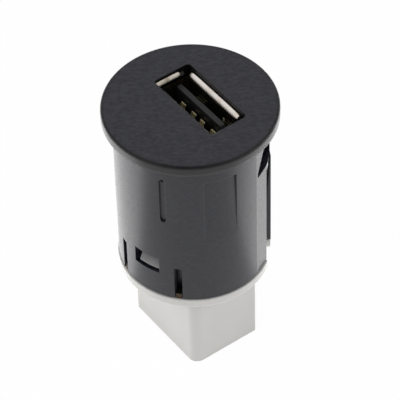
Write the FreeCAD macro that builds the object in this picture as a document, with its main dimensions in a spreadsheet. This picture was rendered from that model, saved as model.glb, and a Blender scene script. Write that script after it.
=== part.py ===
import FreeCAD, Part
import os
import Sketcher

os.makedirs("parts", exist_ok=True)
doc = FreeCAD.newDocument("PortSocket")

# Driving sizes in millimetres and degrees. Heights are measured from the open rim of the rear connector,
# depths are measured down from the face. Turns are measured about the upright axis from the long side of the port.
SIZES = (
    ("shroudHeight", 14.7, "open rear rim to disc"),
    ("flangeRadius", 12.5, "face flange"),
    ("flangeThickness", 1.75, "face flange and face plate"),
    ("flangeRounding", 0.55, "outer edge of the face"),
    ("barrelRadius", 11.0, "barrel outside"),
    ("barrelWall", 1.2, "barrel wall"),
    ("barrelDepth", 28.5, "face to lower rim of barrel"),
    ("rimGap", 0.22, "shadow gap between barrel and rear disc"),
    ("rimGapDepth", 0.5, "shadow gap depth"),
    ("tabTurn", 286.0, "middle of the first flexing tab"),
    ("slotSpread", 26.0, "slots either side of a tab"),
    ("slotAngle", 6.0, "slot width"),
    ("slotLength", 6.4, "slot height above the lower rim"),
    ("windowAngle", 22.5, "tab window width"),
    ("windowRise", 4.7, "lower rim to window sill"),
    ("windowHeight", 2.9, "tab window height"),
    ("channelTurn", 302.2, "short groove on the barrel"),
    ("channelWidth", 0.9, "short groove width"),
    ("channelDepth", 0.3, "short groove depth"),
    ("channelTop", 4.9, "face to groove top"),
    ("channelLength", 8.0, "short groove length"),
    ("channelEnd", 0.25, "half of the blunt end of the short groove"),
    ("ventDiameter", 0.7, "small hole at the groove top"),
    ("panelTurn", 345.6, "middle of the sloped relief"),
    ("panelAngle", 25.4, "sloped relief width"),
    ("panelTop", 4.85, "face to relief top"),
    ("panelEnd", 16.5, "face to where the relief runs out"),
    ("panelSink", 0.3, "relief depth at its top"),
    ("flatTurn", 27.5, "middle of the flat land"),
    ("flatSink", 0.12, "flat land below the barrel surface"),
    ("flatReach", 3.0, "half width that the flat land cut covers"),
    ("bayTurn", 51.0, "middle of the spring arm bay"),
    ("bayAngle", 30.0, "spring arm bay width"),
    ("bayMargin", 4.0, "bay floor wider than the bay"),
    ("bayTop", 9.0, "face to bay top"),
    ("bayRamp", 5.0, "sloped top of the bay"),
    ("bayLedge", 0.8, "bay floor thickening above the bay"),
    ("baySink", 0.65, "bay floor below the barrel surface"),
    ("bayWall", 0.8, "bay floor thickness"),
    ("armTurn", 60.0, "middle of the spring arm"),
    ("armAngle", 6.0, "spring arm width"),
    ("armProud", 0.2, "spring arm off the barrel"),
    ("armTipThickness", 0.1, "spring arm tip"),
    ("armTop", 11.2, "face to spring arm tip"),
    ("armRootRise", 5.2, "lower rim to spring arm root"),
    ("mouthTurn", 37.0, "middle of the opening above the arm"),
    ("mouthNear", 2.95, "opening reach towards the port side"),
    ("mouthFar", 2.85, "opening reach past its middle"),
    ("mouthTop", 4.7, "face to opening top"),
    ("mouthSlant", 2.1, "slanted side of the opening"),
    ("mouthSide", 0.9, "upright side of the opening"),
    ("portLength", 13.55, "port opening length"),
    ("portWidth", 6.11, "port opening width"),
    ("portRounding", 0.6, "port opening corners"),
    ("portOffset", 1.67, "port middle behind the axis"),
    ("discLedge", 0.15, "rear disc past the barrel"),
    ("discThickness", 1.4, "rear disc"),
    ("discRounding", 0.3, "lower edge of rear disc"),
    ("shroudLength", 14.75, "rear connector outside length"),
    ("shroudWidth", 11.4, "rear connector outside width"),
    ("shroudWall", 1.2, "rear connector wall"),
    ("keyRounding", 1.5, "keyed outer corner of the rear connector"),
    ("shroudRounding", 0.4, "other outer corners of the rear connector"),
    ("cavityRounding", 0.6, "rear connector inner corners"),
    ("shroudFloor", 1.5, "floor of rear connector under the disc"),
    ("latchWidth", 4.0, "lock ramp width"),
    ("latchHeight", 0.9, "lock ramp height off the wall"),
    ("latchStart", 2.6, "rim to start of lock ramp"),
    ("latchEnd", 6.0, "rim to square end of lock ramp"),
    ("latchCrest", 0.6, "flat crest of lock ramp"),
    ("hookTurn", 20.0, "rear housing hooks from the port side"),
    ("hookAngle", 26.0, "hook width"),
    ("hookRadius", 8.1, "hook arm outside"),
    ("hookThickness", 0.9, "hook arm thickness"),
    ("hookNoseDepth", 0.8, "hook nose"),
    ("hookRise", 5.1, "disc to underside of nose"),
    ("hookNose", 1.7, "nose height"),
    ("hookEdge", 0.3, "blunt edge of the nose"),
    ("hookSlack", 0.15, "gap round the hook arms"),
    ("hookSlackAngle", 3.0, "windows and notches wider than the hooks"),
    ("boardThickness", 1.6, "main board"),
    ("boardInset", 0.9, "main board edge inside the carrier"),
    ("boardTop", 3.0, "face to top edge of main board"),
    ("basePlate", 1.0, "round base board thickness"),
    ("baseGap", 0.15, "base board to bay wall"),
    ("earInset", 0.2, "ears of base board below the barrel surface"),
    ("earSlackAngle", 1.2, "ears narrower than the slots"),
    ("padGap", 0.18, "solder hole round a terminal"),
    ("tenonWidth", 3.0, "main board tenons"),
    ("tenonOffset", 5.0, "tenon middle from the axis"),
    ("carrierGap", 0.25, "carrier to bay wall"),
    ("carrierWall", 1.0, "carrier wall"),
    ("carrierHeight", 9.0, "carrier ring height"),
    ("railTop", 5.0, "face to top of carrier rails"),
    ("railTurn", 350.0, "middle of the carrier rail"),
    ("railAngle", 36.0, "carrier rail width"),
    ("railRise", 1.0, "carrier foot to rail foot"),
    ("wedgeTurn", 1.8, "snap wedge middle past the window middle"),
    ("wedgeAngle", 18.2, "snap wedge width"),
    ("wedgeInset", 0.25, "snap wedge below the barrel surface"),
    ("wedgeDrop", 0.55, "snap wedge above the window sill"),
    ("wedgeHeight", 2.2, "snap wedge height"),
    ("wedgeEdge", 0.3, "blunt edge of snap wedge"),
    ("wedgeTopStep", 0.55, "snap wedge off the carrier at its top"),
    ("overlap", 0.3, "joined shapes reach into each other"),
    ("overcut", 1.0, "cutting shapes reach past a surface"),
    ("clearance", 0.1, "running clearance between mouldings"),
    ("pinWidth", 0.64, "square terminal"),
    ("pinPitch", 2.2, "terminal spacing"),
    ("pinTipHeight", 5.2, "rim to terminal tip"),
    ("pinRise", 1.1, "terminal above base board"),
    ("pinTaper", 0.18, "terminal tip taper"),
    ("pinFit", 0.03, "terminal in its hole"),
    ("shellLength", 13.14, "port shell outside length"),
    ("shellHeight", 5.72, "port shell outside height"),
    ("shellThickness", 0.3, "port shell sheet"),
    ("shellDrop", 0.75, "face to shell mouth"),
    ("shellDepth", 14.0, "port shell length"),
    ("flareWidth", 0.14, "flared lip outwards"),
    ("flareDepth", 0.8, "flared lip height"),
    ("lipHalfLong", 5.55, "half of long lip"),
    ("lipHalfShort", 1.95, "half of short lip"),
    ("fingerWidth", 1.8, "spring finger width"),
    ("fingerGap", 0.35, "gap round a spring finger"),
    ("fingerTop", 4.0, "face to finger tip"),
    ("fingerRoot", 10.0, "face to finger root"),
    ("fingerBend", 0.45, "spring finger inwards"),
    ("fingerTipBend", 0.18, "spring finger tip inwards"),
    ("fingerNose", 1.0, "spring finger bend to its tip"),
    ("lipEdge", 0.07, "softened edge of the flared lip"),
    ("lipSlope", 0.4, "sloped inside of the flared lip"),
    ("fingerOffset", 3.1, "spring finger from shell middle"),
    ("legWidth", 1.6, "solder leg width"),
    ("legLength", 0.5, "solder leg past the board"),
    ("legTaper", 0.4, "solder leg taper length"),
    ("legTip", 0.32, "half of the solder leg tip"),
    ("legFront", 6.4, "face to first legs"),
    ("legRear", 12.2, "face to second legs"),
    ("tongueLength", 11.1, "tongue width across"),
    ("tongueThickness", 1.84, "tongue"),
    ("tongueGap", 0.72, "tongue to back wall inside the shell"),
    ("tongueDrop", 1.9, "face to tongue tip"),
    ("tongueChamfer", 0.42, "tongue tip chamfer"),
    ("tongueBlock", 2.0, "block behind the tongue"),
    ("blockFit", 0.03, "fit of the block and the contacts"),
    ("contactWidth", 1.0, "contact strip width"),
    ("contactThickness", 0.16, "contact strip"),
    ("contactHump", 0.62, "contact spring off the tongue"),
    ("contactInner", 1.0, "inner contacts from the middle"),
    ("contactOuter", 3.5, "outer contacts from the middle"),
    ("contactTail", 1.0, "contact tail from the back of the shell"),
    ("contactDrop", 2.0, "tongue tip to contact crest"),
    ("contactCrest", 0.8, "straight part of contact crest"),
    ("contactRamp", 2.5, "contact slope below the crest"),
    ("contactNose", 0.5, "contact slope above the crest"),
    ("contactNoseLift", 0.22, "contact end off the tongue"),
    ("tailGap", 0.08, "solder hole round a contact tail"),
)

sheet = doc.addObject("Spreadsheet::Sheet", "Sizes")
for row, (alias, number, words) in enumerate(SIZES, start=1):
    sheet.set("A%d" % row, words)
    sheet.set("B%d" % row, str(number))
    sheet.setAlias("B%d" % row, alias)
doc.recompute()


# A size keeps its number and the sheet expression it comes from, so sums of sizes stay bound to the sheet.
class Size:
    def __init__(self, number, text):
        self.number = number
        self.text = text

    def combine(self, sign, other, number):
        return Size(number, "(%s %s %s)" % (self.text, sign, other.text))

    def __add__(self, other):
        other = asSize(other)
        return self.combine("+", other, self.number + other.number)

    def __sub__(self, other):
        other = asSize(other)
        return self.combine("-", other, self.number - other.number)

    def __mul__(self, other):
        other = asSize(other)
        return self.combine("*", other, self.number * other.number)

    def __truediv__(self, other):
        other = asSize(other)
        return self.combine("/", other, self.number / other.number)

    def __radd__(self, other):
        return asSize(other) + self

    def __rsub__(self, other):
        return asSize(other) - self

    def __neg__(self):
        return asSize(0.0) - self


def asSize(value):
    if isinstance(value, Size):
        return value
    return Size(float(value), "%.6f" % value)


def size(alias):
    return Size(float(sheet.get(alias)), "Sizes." + alias)


def hold(target, path, value):
    value = asSize(value)
    if "Sizes" in value.text:
        target.setExpression(path, value.text)


def startBody(name):
    body = doc.addObject("PartDesign::Body", name)
    body.Label = name
    return body


def placeBody(body, x, y, z):
    x, y, z = asSize(x), asSize(y), asSize(z)
    body.Placement = FreeCAD.Placement(FreeCAD.Vector(x.number, y.number, z.number), FreeCAD.Rotation())
    hold(body, "Placement.Base.x", x)
    hold(body, "Placement.Base.y", y)
    hold(body, "Placement.Base.z", z)


def newSketch(body, name, role, turn=0, lift=0):
    sketch = body.newObject("Sketcher::SketchObject", name)
    plane = [item for item in body.Origin.OriginFeatures if item.Role == role][0]
    sketch.AttachmentSupport = [(plane, "")]
    sketch.MapMode = "FlatFace"
    turn, lift = asSize(turn), asSize(lift)
    axis = FreeCAD.Vector(0, 0, 1) if role == "XY_Plane" else FreeCAD.Vector(0, 1, 0)
    rotation = FreeCAD.Rotation(axis, turn.number)
    shift = rotation.multVec(FreeCAD.Vector(0, 0, lift.number))
    sketch.AttachmentOffset = FreeCAD.Placement(shift, rotation)
    if turn.number:
        hold(sketch, "AttachmentOffset.Rotation.Angle", turn)
    if not turn.number or role == "XY_Plane":
        hold(sketch, "AttachmentOffset.Base.z", lift)
    return sketch


def pinPoint(sketch, item, end, kind, value):
    value = asSize(value)
    if abs(value.number) < 1e-7:
        line = -2 if kind == "DistanceX" else -1
        sketch.addConstraint(Sketcher.Constraint("PointOnObject", item, end, line))
        return
    if value.number > 0:
        index = sketch.addConstraint(Sketcher.Constraint(kind, -1, 1, item, end, value.number))
    else:
        value = -value
        index = sketch.addConstraint(Sketcher.Constraint(kind, item, end, -1, 1, value.number))
    hold(sketch, "Constraints[%d]" % index, value)


def addLoop(sketch, points):
    points = [(asSize(x), asSize(y)) for x, y in points]
    first = sketch.GeometryCount
    count = len(points)
    for i in range(count):
        start = points[i]
        stop = points[(i + 1) % count]
        a = FreeCAD.Vector(start[0].number, start[1].number, 0)
        b = FreeCAD.Vector(stop[0].number, stop[1].number, 0)
        sketch.addGeometry(Part.LineSegment(a, b))
    for i in range(count):
        after = first + (i + 1) % count
        sketch.addConstraint(Sketcher.Constraint("Coincident", first + i, 2, after, 1))
    for i in range(count):
        pinPoint(sketch, first + i, 1, "DistanceX", points[i][0])
        pinPoint(sketch, first + i, 1, "DistanceY", points[i][1])


def addCircle(sketch, x, y, radius):
    x, y, radius = asSize(x), asSize(y), asSize(radius)
    centre = FreeCAD.Vector(x.number, y.number, 0)
    item = sketch.addGeometry(Part.Circle(centre, FreeCAD.Vector(0, 0, 1), radius.number))
    pinPoint(sketch, item, 3, "DistanceX", x)
    pinPoint(sketch, item, 3, "DistanceY", y)
    index = sketch.addConstraint(Sketcher.Constraint("Radius", item, radius.number))
    hold(sketch, "Constraints[%d]" % index, radius)


def rectangle(left, low, right, high):
    return [(left, low), (right, low), (right, high), (left, high)]


def finish(body, feature):
    doc.recompute()
    body.Tip = feature
    return feature


def extrude(body, kind, name, sketch, length, reverse=False, both=False):
    feature = body.newObject("PartDesign::" + kind, name)
    feature.Profile = sketch
    length = asSize(length)
    feature.Length = length.number
    hold(feature, "Length", length)
    feature.Reversed = reverse
    feature.Midplane = both
    sketch.Visibility = False
    return finish(body, feature)


def turnSector(body, kind, name, middle, width, points):
    sketch = newSketch(body, name + "Sketch", "XZ_Plane", middle)
    addLoop(sketch, points)
    feature = body.newObject("PartDesign::" + kind, name)
    feature.Profile = sketch
    feature.ReferenceAxis = (sketch, ["V_Axis"])
    width = asSize(width)
    feature.Angle = width.number
    hold(feature, "Angle", width)
    feature.Midplane = True
    sketch.Visibility = False
    return finish(body, feature)


def roundEdges(body, name, radius, test, kind="Fillet"):
    base = body.Tip
    chosen = ["Edge%d" % (i + 1) for i, edge in enumerate(base.Shape.Edges) if test(edge)]
    feature = body.newObject("PartDesign::" + kind, name)
    feature.Base = (base, chosen)
    path = "Radius" if kind == "Fillet" else "Size"
    setattr(feature, path, radius.number)
    hold(feature, path, radius)
    return finish(body, feature)


def repeatAround(body, name, features, count):
    pattern = body.newObject("PartDesign::PolarPattern", name)
    pattern.Originals = features
    upright = [item for item in body.Origin.OriginFeatures if item.Role == "Z_Axis"][0]
    pattern.Axis = (upright, [""])
    pattern.Angle = 360
    pattern.Occurrences = count
    return finish(body, pattern)


def repeatAlong(body, name, features, length, count):
    pattern = body.newObject("PartDesign::LinearPattern", name)
    pattern.Originals = features
    across = [item for item in body.Origin.OriginFeatures if item.Role == "X_Axis"][0]
    pattern.Direction = (across, [""])
    pattern.Length = length.number
    hold(pattern, "Length", length)
    pattern.Occurrences = count
    return finish(body, pattern)


def flip(body, name, features, role):
    mirrored = body.newObject("PartDesign::Mirrored", name)
    mirrored.Originals = features
    plane = [item for item in body.Origin.OriginFeatures if item.Role == role][0]
    mirrored.MirrorPlane = (plane, [""])
    return finish(body, mirrored)


def isCircleEdge(edge, radius, height):
    curve = edge.Curve
    if not hasattr(curve, "Radius") or not hasattr(curve, "Center"):
        return False
    return abs(curve.Radius - radius.number) < 1e-3 and abs(curve.Center.z - height.number) < 1e-3


def isUprightAt(edge, spots):
    ends = [vertex.Point for vertex in edge.Vertexes]
    if len(ends) != 2 or abs(ends[0].x - ends[1].x) > 1e-4 or abs(ends[0].y - ends[1].y) > 1e-4:
        return False
    return any(abs(ends[0].x - x) < 1e-3 and abs(ends[0].y - y) < 1e-3 for x, y in spots)


def corners(x, y, halfX, halfY):
    spots = []
    for signX in (-1, 1):
        for signY in (-1, 1):
            spots.append((x + signX * halfX.number, y + signY * halfY.number))
    return spots


# Levels and radii that several pieces share.
discLow = size("shroudHeight")
lowerRim = discLow + size("discThickness")
face = lowerRim + size("barrelDepth")
underFlange = face - size("flangeThickness")
barrelInside = size("barrelRadius") - size("barrelWall")
baseTop = lowerRim + size("basePlate")
rimLow = lowerRim + size("rimGap")
windowLow = lowerRim + size("windowRise")
windowHigh = windowLow + size("windowHeight")
outside = size("flangeRadius") + size("overcut")
discRadius = size("barrelRadius") + size("discLedge")
bayFloor = size("barrelRadius") - size("baySink")
bayInside = bayFloor - size("bayWall")
armRadius = size("barrelRadius") + size("armProud")
carrierRadius = bayInside - size("carrierGap")
carrierInside = carrierRadius - size("carrierWall")
boardHalf = carrierRadius - size("boardInset")
boardFront = size("portOffset") - size("shellHeight") / 2.0
boardBack = boardFront - size("boardThickness")
boardHigh = face - size("boardTop")
wallIn = size("shellHeight") / 2.0 - size("shellThickness")
tongueHigh = size("portOffset") + wallIn - size("tongueGap")
tongueLow = tongueHigh - size("tongueThickness")
shellHigh = face - size("shellDrop")
shellLow = shellHigh - size("shellDepth")
blockLow = shellLow + size("shellThickness") + size("blockFit")
blockHigh = blockLow + size("tongueBlock")
tailMiddle = shellLow + size("contactTail")
earAngle = size("slotAngle") - size("earSlackAngle")
joint = size("overlap")
over = size("overcut")


# Barrel housing: flange, face plate, barrel, flexing tabs and spring arm are one moulding.
barrel = startBody("barrel_housing")
profile = newSketch(barrel, "BarrelProfile", "XZ_Plane")
addLoop(profile, [
    (0, face),
    (size("flangeRadius"), face),
    (size("flangeRadius"), underFlange),
    (size("barrelRadius"), underFlange),
    (size("barrelRadius"), rimLow),
    (size("barrelRadius") - size("rimGapDepth"), rimLow),
    (size("barrelRadius") - size("rimGapDepth"), lowerRim),
    (barrelInside, lowerRim),
    (barrelInside, underFlange),
    (0, underFlange),
])
turned = barrel.newObject("PartDesign::Revolution", "BarrelTurned")
turned.Profile = profile
turned.ReferenceAxis = (profile, ["V_Axis"])
turned.Angle = 360
finish(barrel, turned)
roundEdges(barrel, "FaceRounding", size("flangeRounding"),
           lambda edge: isCircleEdge(edge, size("flangeRadius"), face))

portSketch = newSketch(barrel, "PortSketch", "XY_Plane", 0, face)
portHalfX = size("portLength") / 2.0
portHalfY = size("portWidth") / 2.0
addLoop(portSketch, rectangle(-portHalfX, size("portOffset") - portHalfY,
                              portHalfX, size("portOffset") + portHalfY))
extrude(barrel, "Pocket", "PortOpening", portSketch, size("shellDrop") + size("shellDepth"))
portCorners = corners(0.0, size("portOffset").number, portHalfX, portHalfY)
roundEdges(barrel, "PortRounding", size("portRounding"), lambda edge: isUprightAt(edge, portCorners))

# The wall steps inwards behind the spring arm, so the arm has room to flex.
bayHigh = face - size("bayTop")
turnSector(barrel, "Revolution", "BayWall", size("bayTurn"), size("bayAngle") + size("bayMargin"),
           rectangle(bayInside, lowerRim, bayFloor, bayHigh + size("bayLedge")))
turnSector(barrel, "Groove", "BayCut", size("bayTurn"), size("bayAngle"), [
    (bayFloor, lowerRim - over),
    (outside, lowerRim - over),
    (outside, bayHigh),
    (size("barrelRadius"), bayHigh),
    (bayFloor, bayHigh - size("bayRamp")),
])

mouthSketch = newSketch(barrel, "MouthSketch", "YZ_Plane", size("mouthTurn"))
mouthHigh = face - size("mouthTop")
addLoop(mouthSketch, [
    (-size("mouthNear"), bayHigh),
    (size("mouthFar"), bayHigh),
    (size("mouthFar"), mouthHigh),
    (-size("mouthNear") + size("mouthSlant"), mouthHigh),
    (-size("mouthNear"), bayHigh + size("mouthSide")),
])
extrude(barrel, "Pocket", "MouthOpening", mouthSketch, outside, True)

flatSketch = newSketch(barrel, "FlatSketch", "XY_Plane", size("flatTurn"), underFlange)
addLoop(flatSketch, rectangle(size("barrelRadius") - size("flatSink"), -size("flatReach"),
                              outside, size("flatReach")))
extrude(barrel, "Pocket", "FlatLand", flatSketch, size("barrelDepth") - size("flangeThickness"))

armTipHigh = face - size("armTop")
armRootHigh = lowerRim + size("armRootRise")
turnSector(barrel, "Revolution", "SpringArm", size("armTurn"), size("armAngle"), [
    (bayInside + joint, rimLow),
    (armRadius, rimLow),
    (armRadius, armTipHigh),
    (armRadius - size("armTipThickness"), armTipHigh),
    (bayFloor, armRootHigh),
    (bayInside + joint, armRootHigh),
])

turnSector(barrel, "Groove", "SlopedRelief", size("panelTurn"), size("panelAngle"), [
    (size("barrelRadius"), face - size("panelEnd")),
    (size("barrelRadius") + joint, face - size("panelTop")),
    (size("barrelRadius") - size("panelSink"), face - size("panelTop")),
])

channelSketch = newSketch(barrel, "ChannelSketch", "YZ_Plane", size("channelTurn"),
                          size("barrelRadius") - size("channelDepth"))
channelHigh = face - size("channelTop")
channelLow = channelHigh - size("channelLength")
half = size("channelWidth") / 2.0
addLoop(channelSketch, [
    (-half, channelLow + half),
    (-size("channelEnd"), channelLow),
    (size("channelEnd"), channelLow),
    (half, channelLow + half),
    (half, channelHigh),
    (-half, channelHigh),
])
extrude(barrel, "Pocket", "ShortGroove", channelSketch, over, True)
ventSketch = newSketch(barrel, "VentSketch", "YZ_Plane", size("channelTurn"))
addCircle(ventSketch, 0, channelHigh, size("ventDiameter") / 2.0)
extrude(barrel, "Pocket", "SmallHole", ventSketch, outside, True)

slotHigh = lowerRim + size("slotLength")
cuts = []
for name, turn in (("SlotFore", size("tabTurn") + size("slotSpread")),
                   ("SlotAft", size("tabTurn") - size("slotSpread"))):
    cuts.append(turnSector(barrel, "Groove", name, turn, size("slotAngle"),
                           rectangle(barrelInside - over, lowerRim - over, outside, slotHigh)))
cuts.append(turnSector(barrel, "Groove", "TabWindow", size("tabTurn"), size("windowAngle"),
                       rectangle(barrelInside - over, windowLow, outside, windowHigh)))
repeatAround(barrel, "TabPair", cuts, 2)

# Rear housing: disc under the barrel, connector shroud, hooks into the carrier, one pale moulding.
rear = startBody("rear_connector_housing")
discSketch = newSketch(rear, "DiscSketch", "XY_Plane", 0, discLow)
addCircle(discSketch, 0, 0, discRadius)
extrude(rear, "Pad", "Disc", discSketch, size("discThickness"))
roundEdges(rear, "DiscRounding", size("discRounding"),
           lambda edge: isCircleEdge(edge, discRadius, discLow))
shroudHalfX = size("shroudLength") / 2.0
shroudHalfY = size("shroudWidth") / 2.0
shroudSketch = newSketch(rear, "ShroudSketch", "XY_Plane")
addLoop(shroudSketch, rectangle(-shroudHalfX, -shroudHalfY, shroudHalfX, shroudHalfY))
extrude(rear, "Pad", "Shroud", shroudSketch, discLow)
shroudCorners = corners(0.0, 0.0, shroudHalfX, shroudHalfY)
keyCorner = [(x, y) for x, y in shroudCorners if x > 0 > y]
plainCorners = [spot for spot in shroudCorners if spot not in keyCorner]
roundEdges(rear, "KeyCorner", size("keyRounding"), lambda edge: isUprightAt(edge, keyCorner))
roundEdges(rear, "ShroudRounding", size("shroudRounding"), lambda edge: isUprightAt(edge, plainCorners))
cavityDepth = discLow - size("shroudFloor")
cavityHalfX = shroudHalfX - size("shroudWall")
cavityHalfY = shroudHalfY - size("shroudWall")
cavitySketch = newSketch(rear, "CavitySketch", "XY_Plane")
addLoop(cavitySketch, rectangle(-cavityHalfX, -cavityHalfY, cavityHalfX, cavityHalfY))
extrude(rear, "Pocket", "Cavity", cavitySketch, cavityDepth, True)
cavityCorners = corners(0.0, 0.0, cavityHalfX, cavityHalfY)
roundEdges(rear, "CavityRounding", size("cavityRounding"), lambda edge: isUprightAt(edge, cavityCorners))
latchSketch = newSketch(rear, "LatchSketch", "YZ_Plane")
addLoop(latchSketch, [
    (shroudHalfY - joint, size("latchStart")),
    (shroudHalfY, size("latchStart")),
    (shroudHalfY + size("latchHeight"), size("latchEnd") - size("latchCrest")),
    (shroudHalfY + size("latchHeight"), size("latchEnd")),
    (shroudHalfY - joint, size("latchEnd")),
])
extrude(rear, "Pad", "LockRamp", latchSketch, size("latchWidth"), False, True)
# The disc follows the bay of the barrel, from the near edge of the bay to the spring arm.
notchStart = size("bayTurn") - size("bayAngle") / 2.0
notchEnd = size("armTurn") - size("armAngle") / 2.0
turnSector(rear, "Groove", "DiscNotch", (notchStart + notchEnd) / 2.0, notchEnd - notchStart,
           rectangle(bayFloor, discLow - over, outside, lowerRim + over))
hookInside = size("hookRadius") - size("hookThickness")
noseLow = lowerRim + size("hookRise")
noseHigh = noseLow + size("hookNose")
hookShape = [
    (hookInside, lowerRim - joint),
    (size("hookRadius"), lowerRim - joint),
    (size("hookRadius"), noseLow),
    (size("hookRadius") + size("hookNoseDepth"), noseLow),
    (size("hookRadius") + size("hookNoseDepth"), noseLow + size("hookEdge")),
    (size("hookRadius"), noseHigh),
    (hookInside, noseHigh),
]
hook = turnSector(rear, "Revolution", "Hook", size("hookTurn"), size("hookAngle"), hookShape)
flip(rear, "HookPair", [hook], "YZ_Plane")
pinHole = size("pinWidth") + size("pinFit")
holeSketch = newSketch(rear, "PinHoleSketch", "XY_Plane", 0, lowerRim)
firstPin = -(size("pinPitch") * 2.0)
addLoop(holeSketch, rectangle(firstPin - pinHole / 2.0, -(pinHole / 2.0),
                              firstPin + pinHole / 2.0, pinHole / 2.0))
hole = extrude(rear, "Pocket", "PinHole", holeSketch, lowerRim - cavityDepth)
repeatAlong(rear, "PinHoles", [hole], size("pinPitch") * 4.0, 5)

# Square terminals pressed in the rear housing and soldered in the base board.
pinHigh = baseTop + size("pinRise")
for index in range(5):
    pin = startBody("terminal_%d" % (index + 1))
    pinSketch = newSketch(pin, "TerminalSketch%d" % (index + 1), "XY_Plane", 0, size("pinTipHeight"))
    side = size("pinWidth") / 2.0
    addLoop(pinSketch, rectangle(-side, -side, side, side))
    extrude(pin, "Pad", "TerminalBar%d" % (index + 1), pinSketch, pinHigh - size("pinTipHeight"))
    ends = (pinHigh.number, size("pinTipHeight").number)
    roundEdges(pin, "TerminalTaper%d" % (index + 1), size("pinTaper"),
               lambda edge: any(abs(edge.Vertexes[0].Z - end) < 1e-4 and abs(edge.Vertexes[1].Z - end) < 1e-4
                                for end in ends), "Chamfer")
    placeBody(pin, size("pinPitch") * (index - 2.0), 0, 0)

# Round base board on the disc, with ears that lie in the barrel slots.
base = startBody("base_board")
baseRadius = bayInside - size("baseGap")
baseSketch = newSketch(base, "BaseSketch", "XY_Plane", 0, lowerRim)
addCircle(baseSketch, 0, 0, baseRadius)
extrude(base, "Pad", "BaseDisc", baseSketch, size("basePlate"))
ears = []
for name, turn in (("EarFore", size("tabTurn") + size("slotSpread")),
                   ("EarAft", size("tabTurn") - size("slotSpread"))):
    ears.append(turnSector(base, "Revolution", name, turn, earAngle,
                           rectangle(baseRadius - over, lowerRim, size("barrelRadius") - size("earInset"), baseTop)))
repeatAround(base, "EarPairs", ears, 2)
hookSpan = size("hookAngle") + size("hookSlackAngle")
notch = turnSector(base, "Groove", "HookNotch", size("hookTurn"), hookSpan,
                   rectangle(hookInside - size("hookSlack"), lowerRim - over,
                             size("hookRadius") + size("hookSlack"), baseTop + over))
flip(base, "HookNotches", [notch], "YZ_Plane")
tenonHalf = size("tenonWidth") / 2.0
tenonSketch = newSketch(base, "TenonSlotSketch", "XY_Plane", 0, baseTop)
gap = size("clearance")
for side in (-1.0, 1.0):
    middle = size("tenonOffset") * side
    addLoop(tenonSketch, rectangle(middle - tenonHalf - gap, boardBack - gap,
                                   middle + tenonHalf + gap, boardFront + gap))
extrude(base, "Pocket", "TenonSlots", tenonSketch, size("basePlate"))
padSketch = newSketch(base, "PinPadSketch", "XY_Plane", 0, baseTop)
addCircle(padSketch, firstPin, 0, size("pinWidth") / 2.0 + size("padGap"))
padHole = extrude(base, "Pocket", "PinPadHole", padSketch, size("basePlate"))
repeatAlong(base, "PinPadHoles", [padHole], size("pinPitch") * 4.0, 5)

# Inner carrier: ring with snap wedges in the tab windows and two rails that hold the main board.
carrier = startBody("inner_carrier")
ringHigh = baseTop + size("carrierHeight")
railHigh = face - size("railTop")
ringSketch = newSketch(carrier, "RingSketch", "XZ_Plane")
addLoop(ringSketch, rectangle(carrierInside, baseTop, carrierRadius, ringHigh))
ring = carrier.newObject("PartDesign::Revolution", "Ring")
ring.Profile = ringSketch
ring.ReferenceAxis = (ringSketch, ["V_Axis"])
ring.Angle = 360
finish(carrier, ring)
rail = turnSector(carrier, "Revolution", "Rail", size("railTurn"), size("railAngle"),
                  rectangle(carrierInside, baseTop + size("railRise"), carrierRadius, railHigh))
flip(carrier, "RailPair", [rail], "YZ_Plane")
wedgeLow = windowLow + size("wedgeDrop")
wedgeHigh = wedgeLow + size("wedgeHeight")
wedgeRadius = size("barrelRadius") - size("wedgeInset")
wedgeMiddle = size("tabTurn") + size("wedgeTurn")
wedge = turnSector(carrier, "Revolution", "SnapWedge", wedgeMiddle, size("wedgeAngle"), [
    (carrierRadius - joint, wedgeLow),
    (wedgeRadius, wedgeLow),
    (wedgeRadius, wedgeLow + size("wedgeEdge")),
    (carrierRadius + size("wedgeTopStep"), wedgeHigh),
    (carrierRadius - joint, wedgeHigh),
])
repeatAround(carrier, "WedgePair", [wedge], 2)
grooveSketch = newSketch(carrier, "BoardGrooveSketch", "XY_Plane", 0, baseTop)
addLoop(grooveSketch, rectangle(-boardHalf - gap, boardBack - gap, boardHalf + gap, boardFront + gap))
extrude(carrier, "Pocket", "BoardGroove", grooveSketch, railHigh - baseTop, True)
catch = turnSector(carrier, "Groove", "HookWindow", size("hookTurn"), hookSpan,
                   rectangle(carrierInside - over, noseLow - gap, carrierRadius + over, noseHigh + joint))
flip(carrier, "HookWindows", [catch], "YZ_Plane")

# Main board stands on the base board with two tenons and carries the port.
board = startBody("main_board")
boardSketch = newSketch(board, "BoardSketch", "XZ_Plane", 0, -boardFront)
addLoop(boardSketch, [
    (-boardHalf, baseTop),
    (-size("tenonOffset") - tenonHalf, baseTop),
    (-size("tenonOffset") - tenonHalf, lowerRim),
    (-size("tenonOffset") + tenonHalf, lowerRim),
    (-size("tenonOffset") + tenonHalf, baseTop),
    (size("tenonOffset") - tenonHalf, baseTop),
    (size("tenonOffset") - tenonHalf, lowerRim),
    (size("tenonOffset") + tenonHalf, lowerRim),
    (size("tenonOffset") + tenonHalf, baseTop),
    (boardHalf, baseTop),
    (boardHalf, boardHigh),
    (-boardHalf, boardHigh),
])
extrude(board, "Pad", "BoardPlate", boardSketch, size("boardThickness"))
legSketch = newSketch(board, "LegSlotSketch", "XZ_Plane", 0, -boardFront)
sideMiddle = (size("shellLength") - size("shellThickness")) / 2.0
for side in (-1.0, 1.0):
    for drop in (size("legFront"), size("legRear")):
        middle = sideMiddle * side
        level = face - drop
        addLoop(legSketch, rectangle(middle - size("shellThickness") / 2.0 - gap,
                                     level - size("legWidth") / 2.0 - gap,
                                     middle + size("shellThickness") / 2.0 + gap,
                                     level + size("legWidth") / 2.0 + gap))
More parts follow.
